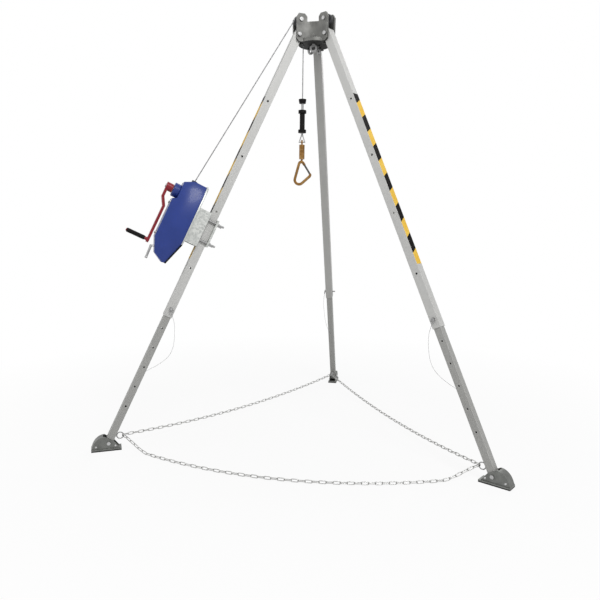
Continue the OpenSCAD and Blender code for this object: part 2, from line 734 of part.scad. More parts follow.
head_casting();
leg_pivot_bolts();
sheave_axles();
anchor_eyes();
for (i = [0:2]) {
    sheave(i);
    upper_tube(i);
    lower_tube(i);
    chain_eye(i);
    foot(i);
    sole(i);
    ankle_bolt(i);
    lock_pin(i);
    lanyard(i);
}
chain_run(270, front_link_count, front_bow, [-tie_z, -tie_z]);  // chain_front
chain_run(150, link_count, 0, [tie_z, tie_z]);  // chain_left
chain_run(30, link_count, 0, [tie_z, -tie_z]);  // chain_right
winch_bracket();
clamp_bar();
clamp_studs();
winch_back_plate();
winch_housing();
housing_screws();
shaft_bearing();
cable_guide();
carry_handle();
gear_axles();
crank_shaft();
idler_gear();
cable_drum();
cable_winding();
crank_arm();
crank_grip();
cable_run();
cable_turn();
cable_drop();
stop_cup();
ferrule();
line_grip();
triangle_link();
swivel();
hook_body();
hook_gate();
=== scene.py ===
import math

import bpy
import bmesh
from mathutils import Matrix, Vector


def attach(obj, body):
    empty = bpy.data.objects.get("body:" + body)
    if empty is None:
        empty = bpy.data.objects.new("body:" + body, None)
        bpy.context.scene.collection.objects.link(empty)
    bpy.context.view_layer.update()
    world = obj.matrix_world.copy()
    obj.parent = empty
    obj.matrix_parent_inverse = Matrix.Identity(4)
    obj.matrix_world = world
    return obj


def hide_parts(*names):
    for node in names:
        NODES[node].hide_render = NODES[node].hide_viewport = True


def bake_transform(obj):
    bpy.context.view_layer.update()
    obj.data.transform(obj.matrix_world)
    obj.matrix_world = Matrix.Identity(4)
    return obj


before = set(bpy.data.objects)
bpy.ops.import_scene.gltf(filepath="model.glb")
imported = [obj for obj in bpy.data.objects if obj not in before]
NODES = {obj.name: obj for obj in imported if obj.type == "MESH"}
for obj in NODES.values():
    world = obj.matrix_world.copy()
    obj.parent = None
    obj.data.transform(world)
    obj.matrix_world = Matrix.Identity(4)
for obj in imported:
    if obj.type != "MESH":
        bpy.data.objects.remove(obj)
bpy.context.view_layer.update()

# Sizes repeated from the part's source, in metres
SIDES = ("left", "right", "back")
LEG_AZIMUTH = {"left": 210, "right": 330, "back": 90}
CHAIN_AZIMUTH = {"front": 270, "left": 150, "right": 30}
PIN_SIDE = {"left": 1, "right": -1, "back": 1}
AXIS_Y = -0.2009547
TOP_R = 0.07
TOP_Z = 2.0
SPLAY = math.radians(25.28)
TUBE_W = 0.04
SHEAVE_X = 0.08
SHEAVE_Z = 2.03
SHEAVE_R = 0.022
CABLE_D = 0.005
STOP_Z = 1.668
GUIDE_U = 0.905
GUIDE_V = 0.147
LANYARD_D = 0.002
MM_PER_M = 1000
# Points of a lanyard along the leg, outward and sideways, in millimetres
LANYARD = [
    (1505, -10, 30), (1516, -19, 32), (1531, -32, 33), (1553, -46, 33), (1578, -58, 31),
    (1603, -69, 28), (1628, -78, 25), (1653, -84, 21), (1677, -86, 17), (1700, -83, 13),
    (1722, -75, 9), (1744, -63, 6), (1765, -49, 3), (1785, -33, 1), (1805, -17.5, 0),
]
LANYARD_JOIN = 8
RING_Z = 0.062
RING_IN = 0.055
TIE_X = TOP_R + (TOP_Z - RING_Z) * math.tan(SPLAY) - RING_IN
RUN_HALF = TIE_X * math.sin(math.pi / 3)
TIE_GAP = 0.0035
TIE_Z = 0.0028
LINK_WIRE = 0.0035
LINK_W = 0.015
LINK_GAP = 0.0004
LINK_COUNT = 57
CHAIN_SAG = 0.042
FRONT_COUNT = 59
FRONT_BOW = 0.2
FLOOR_GAP = 0.0003
LIE_Z = LINK_W / 2 + FLOOR_GAP
LIE_PART = 0.8
RING_SLOPE = 0.15
ROUTE_STEPS = 240
ANKLE_Z = 0.036
ANKLE_X = TOP_R + (TOP_Z - ANKLE_Z) * math.tan(SPLAY)
PLATE_OUT = 0.0225
PLATE_BEND = 1.195

# Sizes in metres, and counts, of the scene's own pieces
LANYARD_LAY = 0.012
CABLE_LAY = 0.034
CABLE_STEP = 0.003
TURN_STEPS = 36
LINK_BEND = 8
LINK_SIDES = 10
LINK_END = 9
CABLE_STRANDS = 6
LANYARD_STRANDS = 5
STRAND_SIDES = 6
LANYARD_STEPS = 5
ROUTE_NUDGE = 0.001
TAPE_START = 0.380
TAPE_END = 1.235
TAPE_PITCH = 0.150
TAPE_PHASE = 0.22
TAPE_SLANT = 0.6
TAPE_W = 0.0394
TAPE_T = 0.0004
TAPE_LIFT = 0.00002
TAPE_ROWS = 60
TAPE_TOP = 0.49
RIVET_X = (-0.030, 0.056)
RIVET_Z = 0.022
RIVET_SIDES = 20
# Radius and rise of each row of a rivet's dome
RIVET_DOME = ((0.0050, -0.0003), (0.0050, 0.0007), (0.0043, 0.0018), (0.0030, 0.0025), (0.0012, 0.0028))

# How the finishes and edges are set
TUBE_METAL = 0.12
TUBE_CORNER = 0.003
# Tones of the upper and the lower tube of each leg; the back leg's darker tones are painted shade
TUBE_TONES = {
    "left": ((0.60, 0.60, 0.585), (0.40, 0.40, 0.385)),
    "right": ((0.60, 0.60, 0.585), (0.40, 0.40, 0.385)),
    "back": ((0.46, 0.46, 0.445), (0.37, 0.37, 0.355)),
}
CAST_CORNER = 0.0025
PAINT_CORNER = 0.003
SHEET_CORNER = 0.001
PLATE_CORNER = 0.0008
FORGED_CORNER = 0.0045
CAST_METAL = 0.6
WELD_M = 0.00002
EASE_M = 0.0006
EASE_ANGLE = 32
FLAT_WEIGHT = 80
# Widths of eased edges that differ from EASE_M
EASED = {
    "hook_gate": 0.0012, "shaft_bearing": 0.003, "crank_arm": 0.0018,
    "crank_grip": 0.003, "line_grip": 0.0025, "stop_cup": 0.002, "swivel": 0.0014,
}
# Grain size and smoothing passes of forged solids
FORGED = {"hook_body": (0.0008, 24), "triangle_link": (0.0005, 14)}
# Solids whose flat faces keep sharp edges
CRISP = ["head_casting", "winch_housing", "winch_bracket", "clamp_bar", "winch_back_plate"]
ROUNDING = 0.5

# Settings of the floor, light and camera
FLOOR_R = 30.0
FLOOR_DROP = 0.0005
FLOOR_TONE = (0.78, 0.78, 0.78)
SEEN_BY = ("Camera", "Glossy", "Transmission")
FLOOR_WHITE = 0.9
FLOOR_NEAR = 0.9
FLOOR_FAR = 2.6
SKY_LIGHT = 0.32
# Place, target, size and watts of each lamp
LAMPS = {
    "key": ((2.4, -4.0, 4.9), (0, -0.2, 1.0), (2.4, 2.4), 185),
    "fill": ((-3.4, -2.4, 2.6), (0, -0.2, 1.0), (2.0, 2.4), 25),
    "rim": ((1.2, 3.6, 3.8), (0, -0.2, 1.1), (2.4, 1.6), 60),
}
CAMERA_FAR = 2.901
CAMERA_AZIMUTH = math.radians(9.61)
CAMERA_HEIGHT = 1.0122
CAMERA_HEADING = math.radians(9.61 + 1.07)
CAMERA_PITCH = math.radians(6.58)
CAMERA_ROLL = math.radians(0.76)
FOCAL_PIXELS = 569.29
FRAME_PIXELS = 600
SENSOR_MM = 36


# Places on the tripod
def turned(azimuth, radial, sideways, z):
    """A point in the upright plane at an azimuth round the tripod's axis."""
    a = math.radians(azimuth)
    return Vector((
        radial * math.cos(a) - sideways * math.sin(a),
        radial * math.sin(a) + sideways * math.cos(a) + AXIS_Y,
        z,
    ))


def on_leg(side, along, out, sideways=0.0):
    """A point given along a leg, outward from its centre line and sideways."""
    radial = TOP_R + along * math.sin(SPLAY) + out * math.cos(SPLAY)
    z = TOP_Z - along * math.cos(SPLAY) + out * math.sin(SPLAY)
    return turned(LEG_AZIMUTH[side], radial, sideways, z)


def leg_axes(side):
    """Unit vectors along a leg, outward and sideways."""
    start = on_leg(side, 0, 0)
    return [on_leg(side, *step) - start for step in ((1, 0, 0), (0, 1, 0), (0, 0, 1))]


# Node materials
class Value:
    """A socket of a node tree; sums and products on it add Math nodes."""

    def __init__(self, nodes, socket):
        self.nodes = nodes
        self.socket = socket

    def math(self, operation, a, b=0.0, clamp=False):
        settings = {"operation": operation, "use_clamp": clamp}
        return self.nodes.node("ShaderNodeMath", settings, {0: a, 1: b})

    def __add__(self, other):
        return self.math("ADD", self, other)

    def __sub__(self, other):
        return self.math("SUBTRACT", self, other)

    def __rsub__(self, other):
        return self.math("SUBTRACT", other, self)

    def __mul__(self, other):
        return self.math("MULTIPLY", self, other)

    __radd__ = __add__
    __rmul__ = __mul__

    def over(self, level):
        return self.math("GREATER_THAN", self, level)

    def clip(self):
        return self.math("ADD", self, 0.0, True)


class NodeTree:
    """Nodes of a material or of the world, added by one method."""

    def __init__(self, tree):
        self.tree = tree

    def node(self, kind, settings, inputs, output=0):
        """Adds a node, sets it up, fills its sockets and gives one of its outputs."""
        made = self.tree.nodes.new(kind)
        for key, value in settings.items():
            if key == "stops":
                self.stops(made.color_ramp, value)
            else:
                setattr(made, key, value)
        for key, value in inputs.items():
            self.fill(made.inputs[key], value)
        return Value(self, made.outputs[output])

    def stops(self, ramp, stops):
        while len(ramp.elements) < len(stops):
            ramp.elements.new(0.5)
        for element, (position, colour) in zip(ramp.elements, stops):
            element.position = position
            element.color = (*colour, 1)

    def fill(self, socket, value):
        if isinstance(value, Value):
            self.tree.links.new(value.socket, socket)
        elif hasattr(value, "__len__") and len(value) == 3 and socket.type == "RGBA":
            socket.default_value = (*value, 1)
        else:
            socket.default_value = value

    def seen_directly(self):
        """1 for the camera and for what metal or glass shows of the surroundings."""
        rays = [self.node("ShaderNodeLightPath", {}, {}, "Is %s Ray" % kind) for kind in SEEN_BY]
        return (rays[0] + rays[1] + rays[2]).clip()


class Finish(NodeTree):
    """One procedural material around a Principled shader."""

    def __init__(self, name, metallic=0.0, coat=0.0, specular=0.5, coat_roughness=0.05):
        self.material = bpy.data.materials.new(name)
        self.material.use_nodes = True
        super().__init__(self.material.node_tree)
        self.shader = self.tree.nodes["Principled BSDF"]
        self.set("Metallic", metallic)
        self.set("Coat Weight", coat)
        self.set("Coat Roughness", coat_roughness)
        self.set("Specular IOR Level", specular)
        self.place = self.node("ShaderNodeTexCoord", {}, {}, "Object")

    def set(self, name, value):
        self.fill(self.shader.inputs[name], value)

    def noise(self, scale, detail=4.0, roughness=0.5, at=None, distortion=0.0):
        inputs = {
            "Vector": at or self.place,
            "Scale": scale,
            "Detail": detail,
            "Roughness": roughness,
            "Distortion": distortion,
        }
        return self.node("ShaderNodeTexNoise", {}, inputs)

    def flakes(self, scale):
        return self.node("ShaderNodeTexVoronoi", {}, {"Vector": self.place, "Scale": scale}, "Color")

    def ramp(self, value, *stops):
        return self.node("ShaderNodeValToRGB", {"stops": stops}, {"Fac": value})

    def spread(self, value, low, high, new_low=0.0, new_high=1.0):
        inputs = {0: value, 1: low, 2: high, 3: new_low, 4: new_high}
        return self.node("ShaderNodeMapRange", {"clamp": True}, inputs)

    def mix(self, factor, a, b):
        return self.node("ShaderNodeMix", {"data_type": "RGBA"}, {0: factor, 6: a, 7: b}, 2)

    def dot(self, a, b):
        settings = {"operation": "DOT_PRODUCT"}
        return self.node("ShaderNodeVectorMath", settings, {0: a, 1: b}, "Value")

    def facing(self):
        return self.node("ShaderNodeNewGeometry", {}, {}, "Normal")

    def stretched(self, axes, scales):
        """Coordinates along three directions, each with its own scale."""
        parts = [self.dot(self.place, axis) * scale for axis, scale in zip(axes, scales)]
        return self.node("ShaderNodeCombineXYZ", {}, dict(enumerate(parts)))

    def edges(self, radius):
        """Near 1 along sharp edges and 0 on open faces."""
        rounded = self.node("ShaderNodeBevel", {"samples": 4}, {"Radius": radius})
        return self.spread(1 - self.dot(rounded, self.facing()), 0.02, 0.25)

    def bump(self, height, strength, distance, corner=0.0):
        """A fine relief, over sharp corners that shade as if rounded."""
        inputs = {"Height": height, "Strength": strength, "Distance": distance}
        if corner:
            inputs["Normal"] = self.node("ShaderNodeBevel", {"samples": 6}, {"Radius": corner})
        self.set("Normal", self.node("ShaderNodeBump", {}, inputs))


def extruded_aluminium(side, name, tone):
    """Satin tube with faint drawing lines along the leg, handling marks and painted highlights along
    its corners.
    """
    f = Finish(name, metallic=TUBE_METAL, specular=0.3)
    axes = leg_axes(side)
    lines = f.noise(1.0, 2.0, 0.5, f.stretched(axes, (1.5, 700.0, 700.0)))
    marks = f.noise(1.0, 5.0, 0.6, f.stretched(axes, (7.0, 45.0, 45.0)))
    clouds = f.noise(4.0, 2.0)
    base = f.ramp(clouds, (0.3, tuple(0.94 * c for c in tone)), (0.75, tone))
    rubbed = f.spread(marks, 0.60, 0.80)
    drawn = f.mix(rubbed * 0.25, base, tuple(0.78 * c for c in tone))
    # Painted highlight: the colour is lightened along every corner
    f.set("Base Color", f.mix(f.edges(TUBE_CORNER) * 0.7, drawn, (0.78, 0.78, 0.76)))
    f.set("Roughness", 0.44 + 0.06 * lines + 0.08 * rubbed)
    f.bump(lines, 0.04, 0.0002, TUBE_CORNER)
    return f.material


def cast_aluminium():
    """Sand-cast surface with a fine grain, its downward faces painted near black as painted shade."""
    f = Finish("cast_aluminium", metallic=CAST_METAL, specular=0.3)
    grain = f.noise(420.0, 3.0, 0.6)
    clouds = f.noise(24.0, 4.0)
    bright = f.edges(CAST_CORNER)
    height = f.node("ShaderNodeSeparateXYZ", {}, {0: f.facing()}, "Z")
    # Painted shade: faces that point down are darkened to near black
    under = f.spread(height, -0.35, -0.85)
    base = f.ramp(clouds, (0.3, (0.11, 0.11, 0.105)), (0.7, (0.19, 0.19, 0.18)))
    clean = f.mix(bright * 0.5, base, (0.45, 0.45, 0.44))
    f.set("Base Color", f.mix(under * 0.9, clean, (0.012, 0.012, 0.012)))
    f.set("Roughness", 0.40 + 0.16 * grain - 0.12 * bright + 0.2 * under)
    f.bump(grain, 0.3, 0.0005, CAST_CORNER)
    return f.material


def zinc_steel(name, tone, scale=60.0, rough=0.3):
    """Zinc plating with a soft cloudy tone and painted highlights along its edges."""
    f = Finish(name, metallic=1.0)
    clouds = f.noise(scale, 4.0)
    specks = f.noise(scale * 9.0, 2.0)
    dark = tuple(0.72 * c for c in tone)
    base = f.ramp(clouds, (0.32, dark), (0.68, tone))
    # Painted highlight: a lighter colour along every edge
    painted_edge_highlight = tuple(min(0.6, 1.8 * c) for c in tone)
    f.set("Base Color", f.mix(f.edges(0.0015) * 0.6, base, painted_edge_highlight))
    f.set("Roughness", rough + 0.15 * specks)
    f.bump(specks, 0.08, 0.0003, PLATE_CORNER)
    return f.material


def galvanised_sheet():
    """Hot-dip zinc with its crystal flakes."""
    f = Finish("galvanised_sheet", metallic=1.0)
    tone = f.node("ShaderNodeSeparateColor", {}, {0: f.flakes(130.0)})
    clouds = f.noise(18.0, 3.0)
    base = f.ramp(tone * 0.7 + clouds * 0.3, (0.2, (0.44, 0.455, 0.44)), (0.8, (0.57, 0.58, 0.56)))
    f.set("Base Color", base)
    f.set("Roughness", 0.32 + 0.2 * tone)
    f.bump(tone, 0.06, 0.0003, SHEET_CORNER)
    return f.material


def gloss_paint(name, tone, deep, bare):
    """Stoved enamel with orange peel, and bare metal rubbed out along its edges."""
    f = Finish(name, coat=0.12, specular=0.3, coat_roughness=0.12)
    peel = f.noise(260.0, 2.0)
    clouds = f.noise(14.0, 3.0)
    wear = (f.edges(0.002) * f.spread(f.noise(45.0, 5.0, 0.7), 0.52, 0.68)).clip()
    paint = f.ramp(clouds, (0.3, deep), (0.7, tone))
    f.set("Base Color", f.mix(wear, paint, bare))
    f.set("Metallic", wear * 0.9)
    f.set("Roughness", 0.3 + 0.12 * peel + 0.1 * wear)
    f.bump(peel, 0.12, 0.0005, PAINT_CORNER)
    return f.material


def winch_plate():
    """Zinc sheet down to the bend, and near black below it as painted shade, with a crinkled relief
    there.
    """
    f = Finish("winch_plate", specular=0.2)
    along = leg_axes("left")[0]
    # Painted shade: below the bend the sheet is coloured near black
    painted_shade_lip = (f.dot(f.place, along) - on_leg("left", 0, 0).dot(along)).over(PLATE_BEND)
    clouds = f.noise(18.0, 3.0)
    crinkle = f.noise(600.0, 3.0, 0.6)
    sheet = f.ramp(clouds, (0.3, (0.42, 0.435, 0.42)), (0.7, (0.56, 0.57, 0.55)))
    f.set("Base Color", f.mix(painted_shade_lip, sheet, (0.006, 0.006, 0.006)))
    f.set("Metallic", (1 - painted_shade_lip) * 0.9)
    f.set("Roughness", 0.34 + 0.1 * crinkle + 0.2 * painted_shade_lip)
    f.bump(crinkle * painted_shade_lip, 0.3, 0.0004, SHEET_CORNER)
    return f.material


def rubber(name, tone, dust):
    """Dark moulded rubber with a grain and a film of dust."""
    f = Finish(name, specular=0.12)
    pores = f.noise(900.0, 2.0)
    film = f.spread(f.noise(28.0, 5.0, 0.65), 0.45, 0.75)
    f.set("Base Color", f.mix(film * 0.5, tone, dust))
    f.set("Roughness", 0.55 + 0.25 * film)
    f.bump(pores, 0.25, 0.0004)
    return f.material


def moulded_nylon():
    """Dark sheave plastic with a mottled tone."""
    f = Finish("moulded_nylon", specular=0.4)
    clouds = f.noise(90.0, 3.0)
    f.set("Base Color", f.ramp(clouds, (0.3, (0.03, 0.03, 0.032)), (0.7, (0.075, 0.075, 0.08))))
    f.set("Roughness", 0.38 + 0.2 * clouds)
    f.bump(f.noise(700.0, 2.0), 0.15, 0.0003)
    return f.material


def yellow_chromate():
    """Zinc plate with its yellow passivation, drifting from brown through gold to brass."""
    f = Finish("yellow_chromate", metallic=1.0)
    drift = f.noise(32.0, 4.0, 0.6, distortion=0.6)
    brown, gold, brass = (0.13, 0.065, 0.02), (0.25, 0.135, 0.045), (0.40, 0.25, 0.10)
    base = f.ramp(drift, (0.25, brown), (0.5, gold), (0.8, brass))
    rubbed = f.edges(0.002)
    f.set("Base Color", f.mix(rubbed * 0.5, base, (0.62, 0.45, 0.24)))
    f.set("Roughness", 0.26 + 0.2 * f.noise(150.0, 3.0))
    f.bump(f.noise(400.0, 2.0), 0.1, 0.0003, FORGED_CORNER)
    return f.material


def wire_rope():
    """Stranded steel, dull and greased between its strands."""
    f = Finish("wire_rope", metallic=1.0)
    grease = f.noise(120.0, 4.0)
    f.set("Base Color", f.ramp(grease, (0.35, (0.16, 0.16, 0.16)), (0.7, (0.36, 0.36, 0.37))))
    f.set("Roughness", 0.34 + 0.2 * grease)
    f.bump(f.noise(1500.0, 2.0), 0.2, 0.0003)
    return f.material


def hazard_tape():
    """Printed black and yellow stripes, scuffed, from the strip's own coordinates."""
    f = Finish("hazard_tape", specular=0.03)
    strip = f.node("ShaderNodeUVMap", {"uv_map": "strip"}, {})
    across = f.node("ShaderNodeSeparateXYZ", {}, {0: strip}, "Y")
    along = f.node("ShaderNodeSeparateXYZ", {}, {0: strip}, "X")
    phase = along.math("FRACT", along + across * TAPE_SLANT)
    black = 1 - phase.over(0.5)
    scuffs = f.spread(f.noise(140.0, 6.0, 0.7), 0.62, 0.74)
    fade = f.noise(20.0, 3.0)
    yellow = f.ramp(fade, (0.3, (0.90, 0.55, 0.07)), (0.7, (0.96, 0.65, 0.12)))
    printed = f.mix(black, yellow, (0.004, 0.003, 0.003))
    f.set("Base Color", f.mix(scuffs * 0.18, printed, (0.42, 0.38, 0.30)))
    f.set("Roughness", 0.46 + 0.22 * scuffs + 0.08 * fade)
    f.bump(f.noise(320.0, 3.0), 0.08, 0.0004)
    return f.material


# Meshes
def new_piece(name, mesh, *materials):
    piece = bpy.data.objects.new(name, mesh)
    bpy.context.scene.collection.objects.link(piece)
    for material in materials:
        mesh.materials.append(material)
    return piece


def mesh_of(name, points, faces, smooth=True):
    mesh = bpy.data.meshes.new(name)
    mesh.from_pydata([tuple(p) for p in points], [], faces)
    mesh.polygons.foreach_set("use_smooth", [smooth] * len(mesh.polygons))
    mesh.update()
    return mesh


def frames_along(path):
    """A direction and two square side directions at each point, without twist."""
    count = len(path)
    frames = []
    side = None
    for k in range(count):
        ahead = (path[min(k + 1, count - 1)] - path[max(k - 1, 0)]).normalized()
        if side is None:
            helper = Vector((0, 0, 1)) if abs(ahead.z) < 0.9 else Vector((1, 0, 0))
            side = ahead.cross(helper).normalized()
        side = (side - ahead * side.dot(ahead)).normalized()
        frames.append((ahead, side, ahead.cross(side)))
    return frames


def skin(rows, sides, base=0):
    """Faces over rows of points round a form, with a cap on each end; base is its first point."""
    faces = []
    for k in range(rows - 1):
        here = base + k * sides
        for s in range(sides):
            n = (s + 1) % sides
            faces.append((here + s, here + n, here + sides + n, here + sides + s))
    last = base + (rows - 1) * sides
    faces.append(tuple(base + s for s in reversed(range(sides))))
    faces.append(tuple(last + s for s in range(sides)))
    return faces


def tube_mesh(name, path, ring):
    """A tube along path; ring(k) gives its section's points there as pairs."""
    points = []
    for k, (centre, (_, a, b)) in enumerate(zip(path, frames_along(path))):
        points += [centre + a * x + b * y for x, y in ring(k)]
    return mesh_of(name, points, skin(len(path), len(ring(0))))


def strand_ring(radius, strands, turn):
    """The section of a rope: round strands laid side by side."""
    count = strands * STRAND_SIDES
    ring = []
    for n in range(count):
        a = 2 * math.pi * n / count
        swell = abs(math.cos(a * strands / 2))
        r = radius * (0.80 + 0.20 * math.sqrt(swell))
        ring.append((r * math.cos(a + turn), r * math.sin(a + turn)))
    return ring


def lengths_along(path):
    """How far along the path each of its points is."""
    gone = [0.0]
    for a, b in zip(path, path[1:]):
        gone.append(gone[-1] + (b - a).length)
    return gone


def rope_mesh(name, path, radius, lay, strands):
    """Strands that turn once in each lay length along the path."""
    gone = lengths_along(path)
    return tube_mesh(name, path, lambda k: strand_ring(radius, strands, 2 * math.pi * gone[k] / lay))


def straight(a, b, step):
    """Points on a straight line, about one step apart."""
    count = max(2, round((b - a).length / step))
    return [a.lerp(b, k / count) for k in range(count + 1)]


def smooth_path(points, per_span):
    """A rounded curve through given points."""
    path = []
    for k in range(len(points) - 1):
        p0, p1 = points[max(k - 1, 0)], points[k]
        p2, p3 = points[k + 1], points[min(k + 2, len(points) - 1)]
        for n in range(per_span):
            t = n / per_span
            path.append(0.5 * (
                2 * p1 + (p2 - p0) * t + (2 * p0 - 5 * p1 + 4 * p2 - p3) * t * t
                + (3 * p1 - p0 - 3 * p2 + p3) * t ** 3
            ))
    return path + [points[-1]]


# Wire lanyards between each lock pin and its lower tube, in two lengths that meet
def lanyard(side, material):
    points = [
        on_leg(side, u / MM_PER_M, v / MM_PER_M, t * PIN_SIDE[side] / MM_PER_M) for u, v, t in LANYARD
    ]
    path = smooth_path(points, LANYARD_STEPS)
    join = LANYARD_JOIN * LANYARD_STEPS
    lengths = (
        ("lanyard_upper_", path[:join + 1], "lock_pin_", "leg_"),
        ("lanyard_lower_", path[join:], "leg_", "lower_leg_"),
    )
    for name, part, before, after in lengths:
        mesh = rope_mesh(name + side, part, LANYARD_D / 2, LANYARD_LAY, LANYARD_STRANDS)
        piece = new_piece(name + side, mesh, material)
        before + side
        after + side
        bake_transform(piece)
        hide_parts("lanyard_" + side)
        length = lengths_along(part)[-1]


# The winch cable, up the leg, over the sheave and down to the stop
def cable(material):
    centre = turned(LEG_AZIMUTH["left"], SHEAVE_X, 0, SHEAVE_Z)
    guide = on_leg("left", GUIDE_U, GUIDE_V)
    out = turned(LEG_AZIMUTH["left"], 1, 0, 0) - turned(LEG_AZIMUTH["left"], 0, 0, 0)
    up = Vector((0, 0, 1))
    away = guide - centre
    angle = math.atan2(away.dot(up), away.dot(out)) + math.acos(SHEAVE_R / away.length)
    leave = centre + SHEAVE_R * (out * math.cos(angle) + up * math.sin(angle))
    run = straight(guide, leave, CABLE_STEP)
    turn = []
    for k in range(TURN_STEPS + 1):
        a = angle + (math.pi - angle) * k / TURN_STEPS
        turn.append(centre + SHEAVE_R * (out * math.cos(a) + up * math.sin(a)))
    drop = straight(turn[-1], Vector((turn[-1].x, turn[-1].y, STOP_Z)), CABLE_STEP)
    pieces = []
    for name, path in (("cable_up_leg", run), ("cable_over_sheave", turn), ("cable_to_stop", drop)):
        mesh = rope_mesh(name, path, CABLE_D / 2, CABLE_LAY, CABLE_STRANDS)
        pieces.append(new_piece(name, mesh, material))
    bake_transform(pieces[0])
    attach(pieces[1], "head")
    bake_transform(pieces[2])
    for piece, node in zip(pieces, ("cable_run", "cable_turn", "cable_drop")):
        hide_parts(node)


# Chain ties
def link_shape(inside):
    """Points and faces of one link along x, lying in the xy plane."""
    bend = (LINK_W - LINK_WIRE) / 2
    half = inside / 2 + LINK_WIRE / 2 - bend
    path = []
    for end in (1, -1):
        for k in range(LINK_BEND + 1):
            a = math.pi * (k / LINK_BEND - 0.5)
            side = Vector((end * math.cos(a), end * math.sin(a), 0))
            path.append((Vector((end * half, 0, 0)) + bend * side, side))
    points = []
    for centre, side in path:
        for s in range(LINK_SIDES):
            a = 2 * math.pi * s / LINK_SIDES
            points.append(centre + LINK_WIRE / 2 * (side * math.cos(a) + Vector((0, 0, math.sin(a)))))
    rows = len(path)
    faces = []
    for k in range(rows):
        for s in range(LINK_SIDES):
            n = (s + 1) % LINK_SIDES
            m = (k + 1) % rows
            here, there = k * LINK_SIDES, m * LINK_SIDES
            faces.append((here + s, there + s, there + n, here + n))
    return points, faces


def run_height(part, bow, ends):
    """Height at a share of the half span: a run hangs clear, or drops to the floor and lies there."""
    if not bow:
        return RING_Z + ends[0] + (ends[1] - ends[0]) * (part + 1) / 2 - CHAIN_SAG * (1 - part * part)
    t = max(0.0, (abs(part) - LIE_PART) / (1 - LIE_PART))
    rise = (RING_Z + ends[0] - LIE_Z) * t * t * (3 - 2 * t)
    return LIE_Z + rise + RING_SLOPE * (1 - LIE_PART) * RUN_HALF * t * t * (t - 1)


def run_point(azimuth, part, bow, ends):
    """A point of a run at a share of its half span."""
    radial = TIE_X / 2 + bow * (1 - part * part)
    return turned(azimuth, radial, part * RUN_HALF, run_height(part, bow, ends))


def chain_stations(azimuth, count, bow, ends):
    """The place and direction of each link of one run, and the length inside a link."""
    shares = [2 * k / ROUTE_STEPS - 1 for k in range(ROUTE_STEPS + 1)]
    route = [run_point(azimuth, share, bow, ends) for share in shares]
    gone = lengths_along(route)
    step = (gone[-1] + 2 * TIE_GAP - LINK_GAP) / count
    stations = []
    n = 0
    for k in range(count):
        here = (step + LINK_GAP) / 2 - TIE_GAP + k * step
        while gone[n + 1] < here:
            n += 1
        part = shares[n] + (shares[1] - shares[0]) * (here - gone[n]) / (gone[n + 1] - gone[n])
        behind, place, beyond = [
            run_point(azimuth, part + nudge, bow, ends) for nudge in (-ROUTE_NUDGE, 0, ROUTE_NUDGE)
        ]
        stations.append((place, (beyond - behind).normalized()))
    return stations, step + LINK_GAP


def chain_run(run, before, after, material, ends, count=LINK_COUNT, bow=0.0):
    """A run of links in four lengths."""
    name = "chain_" + run
    stations, inside = chain_stations(CHAIN_AZIMUTH[run], count, bow, ends)
    shape, link_faces = link_shape(inside)
    middle = count // 2
    cuts = (
        ("_end_" + before, 0, LINK_END, before, "leg_", "lower_leg_", True),
        ("_mid_" + before, LINK_END, middle + 1, before, "head", "leg_", True),
        ("_mid_" + after, middle + 1, count - LINK_END, after, "head", "leg_", False),
        ("_end_" + after, count - LINK_END, count, after, "leg_", "lower_leg_", False),
    )
    for label, first, last, side, near, far, backward in cuts:
        points, faces = [], []
        for k in range(first, last):
            centre, ahead = stations[k]
            flat = ahead.cross(Vector((0, 0, 1))).normalized()
            rise = flat.cross(ahead)
            across, normal = (rise, -flat) if k % 2 else (flat, rise)
            base = len(points)
            points += [centre + ahead * p.x + across * p.y + normal * p.z for p in shape]
            faces += [tuple(base + i for i in face) for face in link_faces]
        piece = new_piece(name + label, mesh_of(name + label, points, faces), material)
        span = [stations[first][0], stations[last - 1][0]]
        if backward:
            span.reverse()
        bodies = [b if b == "head" else b + side for b in (near, far)]
        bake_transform(piece)
        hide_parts(name)


# Hazard tape on the outer face of each upper tube
def tape(side, material):
    length = TAPE_END - TAPE_START
    under = TUBE_W / 2 + TAPE_LIFT
    top = TUBE_W / 2 + TAPE_T
    section = [(under, -0.5), (top, -TAPE_TOP), (top, TAPE_TOP), (under, 0.5)]
    points, marks = [], []
    for k in range(TAPE_ROWS + 1):
        u = TAPE_START + length * k / TAPE_ROWS
        for out, across in section:
            points.append(on_leg(side, u, out, across * TAPE_W))
            marks.append(((u - TAPE_START) / TAPE_PITCH + TAPE_PHASE, across * TAPE_W / TAPE_PITCH))
    mesh = mesh_of("hazard_tape_" + side, points, skin(TAPE_ROWS + 1, len(section)), False)
    layer = mesh.uv_layers.new(name="strip")
    for loop in mesh.loops:
        layer.data[loop.index].uv = marks[loop.vertex_index]
    piece = new_piece("hazard_tape_" + side, mesh, material)
    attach(piece, "leg_" + side)


# Rivets at the heel and the toe, on both side plates of each foot
def foot_rivets(side, material):
    points, faces = [], []
    up = Vector((0, 0, 1))
    for sign in (1, -1):
        outward = leg_axes(side)[2] * sign
        ahead = up.cross(outward)
        for x in RIVET_X:
            centre = turned(LEG_AZIMUTH[side], ANKLE_X + x, sign * PLATE_OUT, RIVET_Z)
            base = len(points)
            for radius, rise in RIVET_DOME:
                for k in range(RIVET_SIDES):
                    a = 2 * math.pi * k / RIVET_SIDES
                    around = ahead * math.cos(a) + up * math.sin(a)
                    points.append(centre + radius * around + rise * outward)
            faces += skin(len(RIVET_DOME), RIVET_SIDES, base)
    name = "foot_rivets_" + side
    piece = new_piece(name, mesh_of(name, points, faces), material)
    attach(piece, "foot_" + side)


